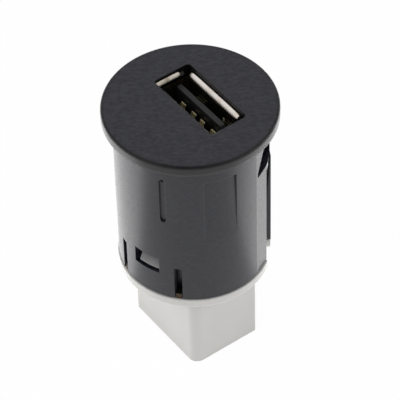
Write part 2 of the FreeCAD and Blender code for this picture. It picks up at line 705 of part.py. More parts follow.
for place in (size("contactInner"), size("contactOuter")):
    for side in (-1.0, 1.0):
        addCircle(legSketch, place * side, tailMiddle, size("contactWidth") / 2.0 + size("tailGap"))
extrude(board, "Pocket", "BoardHoles", legSketch, size("boardThickness"), True)

# Port shell: one folded sheet with flared lips, spring fingers and solder legs.
shell = startBody("port_shell")
shellHalfX = size("shellLength") / 2.0
shellHalfY = size("shellHeight") / 2.0
middleY = size("portOffset")
lipLow = shellHigh - size("flareDepth")
tubeSketch = newSketch(shell, "TubeSketch", "XY_Plane", 0, shellLow)
addLoop(tubeSketch, rectangle(-shellHalfX, middleY - shellHalfY, shellHalfX, middleY + shellHalfY))
extrude(shell, "Pad", "Tube", tubeSketch, lipLow - shellLow)
boreSketch = newSketch(shell, "BoreSketch", "XY_Plane", 0, shellLow + size("shellThickness"))
boreHalfX = shellHalfX - size("shellThickness")
addLoop(boreSketch, rectangle(-boreHalfX, middleY - wallIn, boreHalfX, middleY + wallIn))
extrude(shell, "Pocket", "Bore", boreSketch, size("shellDepth"), True)


def lipShape(outer, sign):
    edge = outer * sign
    step = size("shellThickness") * sign
    flare = size("flareWidth") * sign
    nip = size("lipEdge") * sign
    return [
        (edge, lipLow),
        (edge + flare, shellHigh - size("lipSlope")),
        (edge + flare, shellHigh - size("lipEdge")),
        (edge + flare - nip, shellHigh),
        (edge - step, shellHigh - size("lipSlope")),
        (edge - step, lipLow),
    ]


for sign in (-1.0, 1.0):
    tag = "A" if sign < 0 else "B"
    longSketch = newSketch(shell, "LongLipSketch" + tag, "YZ_Plane")
    addLoop(longSketch, [(x + middleY, y) for x, y in lipShape(shellHalfY, sign)])
    extrude(shell, "Pad", "LongLip" + tag, longSketch, size("lipHalfLong") * 2.0, False, True)
    shortSketch = newSketch(shell, "ShortLipSketch" + tag, "XZ_Plane", 0, -middleY)
    addLoop(shortSketch, lipShape(shellHalfX, sign))
    extrude(shell, "Pad", "ShortLip" + tag, shortSketch, size("lipHalfShort") * 2.0, False, True)
cutSketch = newSketch(shell, "FingerCutSketch", "XZ_Plane", 0, -(middleY + shellHalfY))
fingerHalf = size("fingerWidth") / 2.0
slit = size("fingerGap")
fingerHigh = face - size("fingerTop")
fingerLow = face - size("fingerRoot")
for side in (-1.0, 1.0):
    middle = size("fingerOffset") * side
    addLoop(cutSketch, rectangle(middle - fingerHalf - slit, fingerLow, middle + fingerHalf + slit,
                                 fingerHigh + slit))
extrude(shell, "Pocket", "FingerCuts", cutSketch, size("shellHeight"), True)
for sign in (-1.0, 1.0):
    for side in (-1.0, 1.0):
        tag = "%s%s" % ("A" if sign < 0 else "B", "L" if side < 0 else "R")
        fingerSketch = newSketch(shell, "FingerSketch" + tag, "YZ_Plane", 0, size("fingerOffset") * side)
        wall = shellHalfY * sign
        sheetStep = size("shellThickness") * sign
        bend = size("fingerBend") * sign
        tipBend = size("fingerTipBend") * sign
        addLoop(fingerSketch, [
            (middleY + wall, fingerLow - joint),
            (middleY + wall, fingerLow),
            (middleY + wall - bend, fingerHigh - size("fingerNose")),
            (middleY + wall - tipBend, fingerHigh),
            (middleY + wall - tipBend - sheetStep, fingerHigh),
            (middleY + wall - bend - sheetStep, fingerHigh - size("fingerNose")),
            (middleY + wall - sheetStep, fingerLow),
            (middleY + wall - sheetStep, fingerLow - joint),
        ])
        extrude(shell, "Pad", "Finger" + tag, fingerSketch, size("fingerWidth"), False, True)
for side in (-1.0, 1.0):
    for order, drop in enumerate((size("legFront"), size("legRear"))):
        tag = "%s%d" % ("L" if side < 0 else "R", order)
        planeLift = sideMiddle * side
        legShapeSketch = newSketch(shell, "LegSketch" + tag, "YZ_Plane", 0, planeLift)
        level = face - drop
        legHalf = size("legWidth") / 2.0
        legEnd = boardBack - size("legLength")
        addLoop(legShapeSketch, [
            (boardFront + joint, level - legHalf),
            (boardFront + joint, level + legHalf),
            (legEnd + size("legTaper"), level + legHalf),
            (legEnd, level + size("legTip")),
            (legEnd, level - size("legTip")),
            (legEnd + size("legTaper"), level - legHalf),
        ])
        extrude(shell, "Pad", "Leg" + tag, legShapeSketch, size("shellThickness"), False, True)
tailSketch = newSketch(shell, "TailGateSketch", "XZ_Plane", 0, -boardFront)
gateHalf = size("contactOuter") + size("contactWidth")
addLoop(tailSketch, rectangle(-gateHalf, shellLow, gateHalf, blockHigh))
extrude(shell, "Pocket", "TailGate", tailSketch, size("shellThickness") + gap, False)

# Tongue: flat insulator with a chamfered tip and the block that fills the back of the shell.
tongue = startBody("port_tongue")
blockSketch = newSketch(tongue, "BlockSketch", "XY_Plane", 0, blockLow)
fill = size("blockFit")
addLoop(blockSketch, rectangle(-boreHalfX + fill, middleY - wallIn + fill, boreHalfX - fill,
                               middleY + wallIn - fill))
extrude(tongue, "Pad", "Block", blockSketch, size("tongueBlock"))
tongueSketch = newSketch(tongue, "TongueSketch", "YZ_Plane")
tipHigh = face - size("tongueDrop")
nip = size("tongueChamfer")
addLoop(tongueSketch, [
    (tongueLow, blockHigh - joint),
    (tongueHigh, blockHigh - joint),
    (tongueHigh, tipHigh - nip),
    (tongueHigh - nip, tipHigh),
    (tongueLow + nip, tipHigh),
    (tongueLow, tipHigh - nip),
])
extrude(tongue, "Pad", "Tongue", tongueSketch, size("tongueLength"), False, True)
slotCut = newSketch(tongue, "ContactSlotSketch", "XY_Plane", 0, blockHigh)
for place in (size("contactInner"), size("contactOuter")):
    for side in (-1.0, 1.0):
        middle = place * side
        reach = size("contactWidth") / 2.0 + fill
        addLoop(slotCut, rectangle(middle - reach, middleY - wallIn - joint, middle + reach, tongueLow))
extrude(tongue, "Pocket", "ContactSlots", slotCut, size("tongueBlock"))

# Contacts: bent strips that spring off the tongue and run down through the main board.
strip = size("contactThickness")
hump = size("contactHump")
crestHigh = tipHigh - size("contactDrop")
crestLow = crestHigh - size("contactCrest")
rampLow = crestLow - size("contactRamp")
noseTop = crestHigh + size("contactNose")
noseLift = size("contactNoseLift")
tailEnd = boardBack - size("legLength")
contactPlaces = (-size("contactOuter"), -size("contactInner"), size("contactInner"), size("contactOuter"))
for index, place in enumerate(contactPlaces):
    contact = startBody("contact_%d" % (index + 1))
    contactSketch = newSketch(contact, "ContactSketch%d" % (index + 1), "YZ_Plane")
    addLoop(contactSketch, [
        (tongueLow, tailMiddle - strip / 2.0),
        (tongueLow, rampLow),
        (tongueLow - hump + strip, crestLow),
        (tongueLow - hump + strip, crestHigh),
        (tongueLow - noseLift, noseTop),
        (tongueLow - noseLift - strip, noseTop),
        (tongueLow - hump, crestHigh),
        (tongueLow - hump, crestLow),
        (tongueLow - strip, rampLow),
        (tongueLow - strip, tailMiddle + strip / 2.0),
        (tailEnd, tailMiddle + strip / 2.0),
        (tailEnd, tailMiddle - strip / 2.0),
    ])
    extrude(contact, "Pad", "ContactStrip%d" % (index + 1), contactSketch, size("contactWidth"), False, True)
    placeBody(contact, place, 0, 0)

# Chips soldered flat on the two faces of the main board.
CHIPS = (
    ("common_mode_choke", 1, -3.4, 5.4, 3.6, 3.0, 2.0, 0.25),
    ("bulk_capacitor", 1, 3.2, 5.4, 3.5, 2.8, 1.9, 0.2),
    ("surge_protector", -1, -3.6, 6.6, 2.9, 1.6, 1.0, 0.15),
    ("resettable_fuse", -1, 2.6, 6.5, 4.5, 3.2, 0.9, 0.1),
    ("ferrite_bead", -1, -3.8, 3.0, 3.2, 1.6, 1.1, 0.1),
    ("filter_capacitor", -1, 2.4, 2.8, 3.2, 1.6, 1.2, 0.1),
)
for name, sideOfBoard, across, rise, length, height, thick, rounding in CHIPS:
    level = baseTop + rise
    chip = startBody(name)
    lift = -boardFront if sideOfBoard > 0 else -boardBack
    chipSketch = newSketch(chip, name + "Sketch", "XZ_Plane", 0, lift)
    addLoop(chipSketch, rectangle(across - length / 2.0, level - height / 2.0,
                                  across + length / 2.0, level + height / 2.0))
    extrude(chip, "Pad", name + "Block", chipSketch, thick, sideOfBoard > 0)
    if sideOfBoard > 0:
        far = boardFront.number + thick
    else:
        far = boardBack.number - thick
    roundEdges(chip, name + "Edges", asSize(rounding),
               lambda edge: abs(edge.Vertexes[0].Y - far) < 1e-4 and abs(edge.Vertexes[1].Y - far) < 1e-4,
               "Chamfer")

doc.recompute()
bodies = [item for item in doc.Objects if item.TypeId == "PartDesign::Body"]
for item in doc.Objects:
    if "Invalid" in item.State or "Error" in item.State:
        raise RuntimeError("broken object " + item.Label)
for body in bodies:
    if body.Shape.isNull() or not body.Shape.isValid():
        raise RuntimeError("bad shape " + body.Label)
    print(body.Label, len(body.Shape.Solids), round(body.Shape.Volume, 3))
    body.Shape.exportStep(os.path.join("parts", body.Label + ".step"))
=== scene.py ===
import math

import bpy
import numpy as np
from mathutils import Matrix, Vector


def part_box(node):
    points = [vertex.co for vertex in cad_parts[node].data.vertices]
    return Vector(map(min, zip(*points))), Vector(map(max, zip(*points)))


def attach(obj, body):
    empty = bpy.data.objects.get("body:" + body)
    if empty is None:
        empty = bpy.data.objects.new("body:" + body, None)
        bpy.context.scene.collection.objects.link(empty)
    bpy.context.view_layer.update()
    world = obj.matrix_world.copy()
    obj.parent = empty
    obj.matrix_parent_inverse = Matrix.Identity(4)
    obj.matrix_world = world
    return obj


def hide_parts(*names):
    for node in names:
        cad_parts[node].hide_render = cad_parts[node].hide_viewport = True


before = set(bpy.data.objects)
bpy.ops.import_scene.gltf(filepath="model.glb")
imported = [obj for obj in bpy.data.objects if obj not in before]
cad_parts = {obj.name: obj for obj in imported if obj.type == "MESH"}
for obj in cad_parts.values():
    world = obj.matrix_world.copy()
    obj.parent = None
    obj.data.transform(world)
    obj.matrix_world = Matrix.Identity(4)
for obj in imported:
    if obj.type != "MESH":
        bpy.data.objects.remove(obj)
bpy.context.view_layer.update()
print("stage: frame loaded")

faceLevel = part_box("barrel_housing")[1][2]
millimetre = 0.001
terminalCount = 5
contactCount = 4


def addObject(name, data):
    item = bpy.data.objects.new(name, data)
    bpy.context.scene.collection.objects.link(item)
    return item


viewLook = {
    "place": (0.20469, -0.14377, 0.23885),  # metres from the middle of the face
    "turn": 54.919,  # degrees about the upright axis, from looking along +Y
    "yaw": 0.247,
    "down": 45.904,
    "roll": -1.598,
    "lens": 225.0,
    "sensor": 36.0,
    "shift": (-0.00125, 0.00125),
    "near": 0.01,
    "far": 10.0,
}


def aimCamera(look):
    # the view is yawed about Z, dipped below the horizon and rolled about itself, and the whole
    # of that is turned about Z
    yaw, down, roll = (math.radians(look[key]) for key in ("yaw", "down", "roll"))
    level = math.cos(down)
    forward = Vector((math.sin(yaw) * level, math.cos(yaw) * level, -math.sin(down)))
    right = Vector((math.cos(yaw), -math.sin(yaw), 0.0))
    upward = right.cross(forward)
    across = math.cos(roll) * right + math.sin(roll) * upward
    above = -math.sin(roll) * right + math.cos(roll) * upward
    basis = Matrix((across, above, -forward)).transposed()
    basis = Matrix.Rotation(math.radians(look["turn"]), 3, "Z") @ basis
    data = bpy.data.cameras.new("photoView")
    data.lens = look["lens"]
    data.sensor_width = look["sensor"]
    data.shift_x, data.shift_y = look["shift"]
    data.clip_start = look["near"]
    data.clip_end = look["far"]
    cam = addObject("photoView", data)
    place = Vector(look["place"]) + Vector((0.0, 0.0, faceLevel))
    cam.matrix_world = Matrix.Translation(place) @ basis.to_4x4()
    bpy.context.scene.camera = cam


aimCamera(viewLook)
bpy.context.scene.view_settings.view_transform = "Standard"
print("stage: camera")


def setInputs(tree, node, values):
    # a value is either a socket to wire from or a fixed setting
    for key, value in values.items():
        if hasattr(value, "is_output"):
            tree.links.new(value, node.inputs[key])
        else:
            node.inputs[key].default_value = value


def addNode(tree, kind, values=None, **settings):
    node = tree.nodes.new(kind)
    for key, setting in settings.items():
        setattr(node, key, setting)
    setInputs(tree, node, values or {})
    return node


def mathNode(tree, action, *values, clamp=False):
    node = addNode(tree, "ShaderNodeMath", dict(enumerate(values)),
                   operation=action, use_clamp=clamp)
    return node.outputs[0]


def mixColor(tree, factor, first, second):
    first, second = (tone if hasattr(tone, "is_output") else (*tone, 1.0)
                     for tone in (first, second))
    node = addNode(tree, "ShaderNodeMix", data_type="RGBA", clamp_factor=True)
    setInputs(tree, node, {0: factor, 6: first, 7: second})  # 6 and 7 are its colour sockets
    return node.outputs[2]


def ramp(tree, value, start, end, kind="SMOOTHSTEP"):
    # climbs from 0 at the start to 1 at the end
    node = addNode(tree, "ShaderNodeMapRange",
                   {"Value": value, "From Min": start, "From Max": end}, interpolation_type=kind)
    return node.outputs[0]


def objectPlace(tree):
    return addNode(tree, "ShaderNodeTexCoord").outputs["Object"]


def faceNormal(tree):
    return addNode(tree, "ShaderNodeNewGeometry").outputs["Normal"]


def splitVector(tree, vector):
    return addNode(tree, "ShaderNodeSeparateXYZ", {0: vector}).outputs


def addNoise(tree, place, scale, detail=2.0, **values):
    node = addNode(tree, "ShaderNodeTexNoise",
                   {"Vector": place, "Scale": scale, "Detail": detail, **values})
    return node.outputs["Fac"]


def addBump(tree, height, strength, distance, **values):
    node = addNode(tree, "ShaderNodeBump",
                   {"Height": height, "Strength": strength, "Distance": distance, **values})
    return node.outputs["Normal"]


def startGroup(name, inputs, outputs):
    group = bpy.data.node_groups.new(name, "ShaderNodeTree")
    for label, value in inputs.items():
        socket = group.interface.new_socket(label, in_out="INPUT", socket_type="NodeSocketFloat")
        socket.default_value = value
    for label, kind in outputs.items():
        group.interface.new_socket(label, in_out="OUTPUT", socket_type=kind)
    given = addNode(group, "NodeGroupInput").outputs
    return group, given, addNode(group, "NodeGroupOutput")


grainShape = {
    "wrinkles": {"detail": 2.5, "Roughness": 0.55, "Distortion": 0.35},
    "wrinkleFrom": 0.33,
    "wrinkleTo": 0.67,
    "pitsPerWrinkle": 2.4,
    "pitSmoothness": 0.6,
    "pitHeight": 0.4,
    "driftScale": 210.0,
    "driftDetail": 4.0,
}


def buildMouldGrain(shape):
    # mould texture: long low wrinkles, fine pits between them and a slow drift over the whole part
    group, given, result = startGroup(
        "mouldGrain",
        {"Grain Size": 0.0002, "Stretch": 1.0, "Turn": 0.0},
        dict.fromkeys(("Height", "Wrinkle", "Pits", "Drift"), "NodeSocketFloat"),
    )
    place = objectPlace(group)
    scale = mathNode(group, "DIVIDE", 1.0, given["Grain Size"])
    turned = addNode(group, "ShaderNodeVectorRotate", {"Vector": place, "Angle": given["Turn"]},
                     rotation_type="Z_AXIS")
    stretch = addNode(group, "ShaderNodeCombineXYZ",
                      {"X": 1.0, "Y": given["Stretch"], "Z": given["Stretch"]})
    squeezed = addNode(group, "ShaderNodeVectorMath",
                       {0: turned.outputs[0], 1: stretch.outputs[0]}, operation="MULTIPLY")
    coarse = addNoise(group, squeezed.outputs[0], scale, **shape["wrinkles"])
    pitScale = mathNode(group, "MULTIPLY", scale, shape["pitsPerWrinkle"])
    pits = addNode(group, "ShaderNodeTexVoronoi", {
        "Vector": place, "Scale": pitScale, "Smoothness": shape["pitSmoothness"],
    }, feature="SMOOTH_F1").outputs["Distance"]
    setInputs(group, result, {
        "Height": mathNode(group, "ADD", coarse,
                           mathNode(group, "MULTIPLY", pits, shape["pitHeight"])),
        "Wrinkle": ramp(group, coarse, shape["wrinkleFrom"], shape["wrinkleTo"]),
        "Pits": pits,
        "Drift": addNoise(group, place, shape["driftScale"], shape["driftDetail"]),
    })
    return group


edgeWearAndHighlightShape = {"samples": 4, "gain": 5.0, "breakupDetail": 5.0, "breakupGain": 1.5}


def buildEdgeWearAndHighlight(shape):
    # handled and lit edges: where the rounded normal leaves the flat one, broken up by a scratchy
    # noise; the colour it lightens is partly wear and partly a painted highlight
    group, given, result = startGroup(
        "edgeWearAndHighlight",
        {"Radius": 0.0002, "Breakup": 900.0},
        {"Mask": "NodeSocketFloat", "Normal": "NodeSocketVector"},
    )
    rounded = addNode(group, "ShaderNodeBevel", {"Radius": given["Radius"]},
                      samples=shape["samples"]).outputs[0]
    agree = addNode(group, "ShaderNodeVectorMath", {0: rounded, 1: faceNormal(group)},
                    operation="DOT_PRODUCT")
    rim = mathNode(group, "SUBTRACT", 1.0, agree.outputs["Value"])
    rim = mathNode(group, "MULTIPLY", rim, shape["gain"], clamp=True)
    scratchy = addNoise(group, objectPlace(group), given["Breakup"], shape["breakupDetail"])
    scratchy = mathNode(group, "MULTIPLY", scratchy, shape["breakupGain"], clamp=True)
    mask = mathNode(group, "MULTIPLY", rim, scratchy, clamp=True)
    setInputs(group, result, {"Mask": mask, "Normal": rounded})
    return group


mouldGrain = buildMouldGrain(grainShape)
edgeWearAndHighlight = buildEdgeWearAndHighlight(edgeWearAndHighlightShape)


def startMaterial(name):
    material = bpy.data.materials.new(name)
    material.use_nodes = True
    tree = material.node_tree
    return material, tree, tree.nodes["Principled BSDF"]


def finish(node, material):
    mesh = bpy.data.objects[node].data
    mesh.materials.clear()
    mesh.materials.append(material)


# what all the moulded plastics share; lengths in metres
plasticLook = {
    "stretch": 1.0,
    "turn": 0.0,
    "wornEdgeAndHighlightShare": 0.45,
    "pitRoughness": 0.12,  # how much rougher the deepest pits are
    "skinRoughness": -0.03,  # and the skin between them
    "bumpDistance": 0.00004,
    "specular": 0.5,
    "sheen": 0.0,
    "sheenRoughness": 0.35,
}
darkLook = {
    **plasticLook,
    "deep": (0.0018, 0.002, 0.0072),
    "pale": (0.0155, 0.016, 0.0225),
    "wornEdgeAndHighlight": (0.05, 0.05, 0.055),
    "roughness": 0.33,
    "grainSize": 0.0008,
    "stretch": 2.2,
    "turn": -0.9585,  # the wrinkles run across the port's corner, as the picture shows them
    "wrinkle": 0.45,  # their strength on upright faces
    "bump": 0.3,
    "edgeRadius": 0.00012,
    "sheen": 0.12,
    # the rolled rim of the flange: distance from the axis, extra rounding, and painted shade where
    # its face leaves the level
    "rimFrom": 0.0112,
    "rimRadius": 0.0005,
    "rimLevel": 0.97,
    "rimSteep": 0.8,
    "rimPaintedShade": (0.0012, 0.0012, 0.0022),
    # painted shade on the unlit walls of the port opening: middle and half size of the space they
    # line
    "wellMiddle": (0.0, 0.00167, 0.0372),
    "wellHalf": (0.00686, 0.00314, 0.0073),
    "wellTone": (0.0007, 0.0007, 0.0008),
}
carrierLook = {
    **{key: value for key, value in darkLook.items() if not key.startswith(("well", "rim"))},
    # paler tone on the snap wedge, growing over two distances from the axis
    "paleWedge": (0.17, 0.17, 0.172),
    "paleWedgeFrom": 0.0096,
    "paleWedgeTo": 0.0108,
    "paleWedgeLift": 0.45,  # keeps the patches from fading out wholly
    "wedgeMiddle": (0.0032, -0.0104, 0.0224),  # of the space round the wedge
    "wedgeHalf": (0.0026, 0.0018, 0.0016),
}
paleLook = {
    **plasticLook,
    "deep": (0.575, 0.566, 0.548),
    "pale": (0.625, 0.617, 0.6),
    # edges lightened at full share: mostly a painted highlight along them
    "wornEdgeAndHighlight": (0.93, 0.92, 0.9),
    "wornEdgeAndHighlightShare": 1.0,
    "roughness": 0.4,
    "grainSize": 0.0003,
    "bump": 0.06,
    "edgeRadius": 0.00024,
    # painted highlight along the rounded lower edge of the disc: its heights and least distance
    # from the axis
    "lineLow": 0.01472,
    "lineHigh": 0.01498,
    "lineFrom": 0.0105,
    "highlightLineTone": (0.8, 0.79, 0.77),
}
insulatorLook = {
    **plasticLook,
    "deep": (0.007, 0.007, 0.0075),
    "pale": (0.0105, 0.0105, 0.011),
    "wornEdgeAndHighlight": (0.03, 0.03, 0.03),
    "roughness": 0.45,
    "grainSize": 0.00015,
    "bump": 0.1,
    "edgeRadius": 0.00008,
}


def insideBox(tree, middle, half):
    # 1 where each coordinate is nearer to the middle of the box than half its size
    away = addNode(tree, "ShaderNodeVectorMath", {0: objectPlace(tree), 1: middle},
                   operation="SUBTRACT")
    reach = addNode(tree, "ShaderNodeVectorMath", {0: away.outputs[0]}, operation="ABSOLUTE")
    near = [mathNode(tree, "LESS_THAN", part, limit)
            for part, limit in zip(splitVector(tree, reach.outputs[0]), half)]
    return mathNode(tree, "MULTIPLY", mathNode(tree, "MULTIPLY", near[0], near[1]), near[2])


def axisPlace(tree):
    # distance from the upright axis, the square root of x squared plus y squared, and the height z
    x, y, z = splitVector(tree, objectPlace(tree))
    squares = mathNode(tree, "ADD", mathNode(tree, "MULTIPLY", x, x),
                       mathNode(tree, "MULTIPLY", y, y))
    return mathNode(tree, "SQRT", squares), z


def wrinkledTone(tree, wrinkle, onUpright):
    # full on level faces and weaker on upright ones, where the mould drew the wrinkles out
    level = mathNode(tree, "ABSOLUTE", splitVector(tree, faceNormal(tree))[2])
    strength = mathNode(tree, "MULTIPLY_ADD", level, 1.0 - onUpright, onUpright)
    off = mathNode(tree, "MULTIPLY", mathNode(tree, "SUBTRACT", wrinkle, 0.5), strength)
    return mathNode(tree, "ADD", off, 0.5, clamp=True)


def paleWedgeMask(tree, drift, look):
    outer = ramp(tree, axisPlace(tree)[0], look["paleWedgeFrom"], look["paleWedgeTo"])
    patches = mathNode(tree, "ADD", drift, look["paleWedgeLift"])
    patches = mathNode(tree, "MULTIPLY", outer, patches, clamp=True)
    return mathNode(tree, "MULTIPLY", patches,
                    insideBox(tree, look["wedgeMiddle"], look["wedgeHalf"]))


def rimMasks(tree, look):
    # outside is 1 past a distance from the axis; steep grows as the face leaves the level and marks
    # where painted shade goes
    outside = mathNode(tree, "GREATER_THAN", axisPlace(tree)[0], look["rimFrom"])
    steep = ramp(tree, splitVector(tree, faceNormal(tree))[2], look["rimLevel"], look["rimSteep"])
    return outside, mathNode(tree, "MULTIPLY", outside, steep)


def highlightLineMask(tree, look):
    away, height = axisPlace(tree)
    band = mathNode(tree, "MULTIPLY", mathNode(tree, "GREATER_THAN", height, look["lineLow"]),
                    mathNode(tree, "LESS_THAN", height, look["lineHigh"]))
    return mathNode(tree, "MULTIPLY", band,
                    mathNode(tree, "GREATER_THAN", away, look["lineFrom"]))


def mouldedPlastic(name, look):
    material, tree, shader = startMaterial(name)
    grain = addNode(tree, "ShaderNodeGroup", {
        "Grain Size": look["grainSize"], "Stretch": look["stretch"], "Turn": look["turn"],
    }, node_tree=mouldGrain).outputs
    wearAndHighlight = addNode(tree, "ShaderNodeGroup", {"Radius": look["edgeRadius"]}, node_tree=edgeWearAndHighlight)
    tone = grain["Drift"]
    if "wrinkle" in look:
        tone = wrinkledTone(tree, grain["Wrinkle"], look["wrinkle"])
    colour = mixColor(tree, tone, look["deep"], look["pale"])
    # a paler tone on the snap wedge, in patches
    if "paleWedge" in look:
        colour = mixColor(tree, paleWedgeMask(tree, grain["Drift"], look), colour, look["paleWedge"])
    # edges lightened partly as wear and partly as a painted highlight
    worn = mathNode(tree, "MULTIPLY", wearAndHighlight.outputs["Mask"], look["wornEdgeAndHighlightShare"])
    colour = mixColor(tree, worn, colour, look["wornEdgeAndHighlight"])
    if "rimPaintedShade" in look:
        # the flange's rim is rolled over: rounded further than the other edges, and painted darker
        # there as shade
        outside, rimShade = rimMasks(tree, look)
        radius = mathNode(tree, "MULTIPLY_ADD", outside, look["rimRadius"], look["edgeRadius"])
        setInputs(tree, wearAndHighlight, {"Radius": radius})
        colour = mixColor(tree, rimShade, colour, look["rimPaintedShade"])
    # painted highlight on the disc's lower edge
    if "highlightLineTone" in look:
        colour = mixColor(tree, highlightLineMask(tree, look), colour, look["highlightLineTone"])
    if "wellTone" in look:
        # painted shade inside the port opening
        well = insideBox(tree, look["wellMiddle"], look["wellHalf"])
        colour = mixColor(tree, well, colour, look["wellTone"])
    setInputs(tree, shader, {
        "Base Color": colour,
        "Roughness": mathNode(tree, "MULTIPLY_ADD", grain["Pits"], look["pitRoughness"],
                              look["roughness"] + look["skinRoughness"]),
        "Normal": addBump(tree, grain["Height"], look["bump"], look["bumpDistance"],
                          Normal=wearAndHighlight.outputs["Normal"]),
        "Specular IOR Level": look["specular"],
        "Sheen Weight": look["sheen"],
        "Sheen Roughness": look["sheenRoughness"],
    })
    return material


finish("barrel_housing", mouldedPlastic("darkHousing", darkLook))
finish("inner_carrier", mouldedPlastic("darkCarrier", carrierLook))
finish("rear_connector_housing", mouldedPlastic("paleHousing", paleLook))
finish("port_tongue", mouldedPlastic("blackInsulator", insulatorLook))
print("stage: plastics")

# what all the plated metals share: drawing marks squeezed along the height, and cloudy patches
plateLook = {
    "markSqueeze": (1.0, 1.0, 0.06),
    "markScale": 9000.0,
    "markDetail": 3.0,
    "cloudScale": 650.0,
    "cloudDetail": 5.0,
    "wornFrom": 0.5,
    "wornTo": 0.72,
    "cloudRoughness": 0.16,
    "clearRoughness": -0.07,
    "bump": 0.12,
    "bumpDistance": 0.00001,
}
lipLook = {**plateLook, "base": (0.96, 0.895, 0.84), "dull": (0.76, 0.65, 0.52), "roughness": 0.34}
# a darker copy of the lip plate for the short lips: painted shade
shadedLipLook = {**lipLook, "base": (0.72, 0.66, 0.59), "dull": (0.42, 0.37, 0.28)}
goldLook = {**plateLook, "base": (0.98, 0.88, 0.56), "dull": (0.8, 0.74, 0.42), "roughness": 0.45}
tinLook = {**plateLook, "base": (0.68, 0.66, 0.62), "dull": (0.44, 0.42, 0.39), "roughness": 0.38}
solderLook = {**plateLook, "base": (0.74, 0.73, 0.7), "dull": (0.55, 0.54, 0.51), "roughness": 0.26}
shellLook = {
    **plateLook,
    "base": (0.5, 0.46, 0.35),
    "dull": (0.24, 0.215, 0.15),
    "roughness": 0.3,
    "shellTopShade": (0.035, 0.033, 0.03),  # painted shade over the shell above the height given next
    "shellTopShadeAbove": 0.043,
}


def platedMetal(name, look):
    # plated sheet: drawing marks along the sheet, cloudy plate and duller worn patches
    material, tree, shader = startMaterial(name)
    place = objectPlace(tree)
    squeezed = addNode(tree, "ShaderNodeMapping", {"Vector": place, "Scale": look["markSqueeze"]})
    marks = addNoise(tree, squeezed.outputs[0], look["markScale"], look["markDetail"])
    cloud = addNoise(tree, place, look["cloudScale"], look["cloudDetail"])
    worn = ramp(tree, cloud, look["wornFrom"], look["wornTo"], "LINEAR")
    colour = mixColor(tree, worn, look["base"], look["dull"])
    # painted shade: the shell is darkened above a height
    if "shellTopShade" in look:
        rim = mathNode(tree, "GREATER_THAN", splitVector(tree, place)[2], look["shellTopShadeAbove"])
        colour = mixColor(tree, rim, colour, look["shellTopShade"])
    setInputs(tree, shader, {
        "Base Color": colour,
        "Roughness": mathNode(tree, "MULTIPLY_ADD", cloud, look["cloudRoughness"],
                              look["roughness"] + look["clearRoughness"]),
        "Metallic": 1.0,
        "Normal": addBump(tree, marks, look["bump"], look["bumpDistance"]),
    })
    return material


finish("port_shell", platedMetal("shellPlate", shellLook))
goldPlate = platedMetal("goldPlate", goldLook)
for number in range(1, contactCount + 1):
    finish("contact_%d" % number, goldPlate)
tinPlate = platedMetal("tinPlate", tinLook)
for number in range(1, terminalCount + 1):
    finish("terminal_%d" % number, tinPlate)
print("stage: metals")

boardLook = {
    "mask": (0.02, 0.075, 0.028),
    "maskLight": (0.045, 0.13, 0.05),
    "laminate": (0.2, 0.15, 0.075),
    "laminatePale": (0.36, 0.3, 0.18),
    "roughness": 0.3,
    "broadFrom": 0.7,  # part of the normal across the board past which a face is a broad one
    "runScale": 420.0,
    "runGap": 0.06,
    "clothScale": 3000.0,
    "clothRoughness": 0.3,
    "maskRoughness": -0.1,
    "bump": 0.2,
    "bumpDistance": 0.00003,
}
# a darker copy of the board finish for the round board: painted shade
shadedBoardLook = {
    **boardLook,
    "mask": (0.003, 0.0055, 0.0035),
    "maskLight": (0.006, 0.011, 0.007),
    "laminate": (0.035, 0.016, 0.005),
    "laminatePale": (0.06, 0.03, 0.011),
    "roughness": 0.55,
}


def boardFinish(name, look, axis):
    # solder mask with faint copper runs on the broad faces, woven glass laminate on the cut edges
    material, tree, shader = startMaterial(name)
    place = objectPlace(tree)
    facing = mathNode(tree, "ABSOLUTE", splitVector(tree, faceNormal(tree))[axis])
    broad = mathNode(tree, "GREATER_THAN", facing, look["broadFrom"])
    runs = addNode(tree, "ShaderNodeTexBrick", {
        "Vector": place, "Scale": look["runScale"], "Mortar Size": look["runGap"],
        "Color1": (1, 1, 1, 1), "Color2": (1, 1, 1, 1), "Mortar": (0, 0, 0, 1),
    })
    cloth = addNoise(tree, place, look["clothScale"])
    maskTone = mixColor(tree, runs.outputs["Color"], look["maskLight"], look["mask"])
    edgeTone = mixColor(tree, cloth, look["laminate"], look["laminatePale"])
    setInputs(tree, shader, {
        "Base Color": mixColor(tree, broad, edgeTone, maskTone),
        "Roughness": mathNode(tree, "MULTIPLY_ADD", cloth, look["clothRoughness"],
                              look["roughness"] + look["maskRoughness"]),
        "Normal": addBump(tree, runs.outputs["Fac"], look["bump"], look["bumpDistance"]),
    })
    return material


finish("main_board", boardFinish("uprightBoard", boardLook, "Y"))
finish("base_board", boardFinish("roundBoard", shadedBoardLook, "Z"))

chipTones = {
    # deep tone, pale tone, roughness
    "common_mode_choke": ((0.05, 0.05, 0.054), (0.085, 0.082, 0.08), 0.6),
    "bulk_capacitor": ((0.55, 0.3, 0.05), (0.68, 0.42, 0.1), 0.42),
    "surge_protector": ((0.016, 0.016, 0.017), (0.03, 0.03, 0.031), 0.5),
    "resettable_fuse": ((0.05, 0.16, 0.07), (0.08, 0.24, 0.11), 0.4),
    "ferrite_bead": ((0.06, 0.058, 0.06), (0.1, 0.098, 0.1), 0.55),
    "filter_capacitor": ((0.4, 0.27, 0.16), (0.52, 0.38, 0.25), 0.38),
}
chipLook = {
    "grainSize": 0.00012,
    "driftRoughness": 0.2,
    "evenRoughness": -0.1,
    "bump": 0.15,
    "bumpDistance": 0.00002,
}


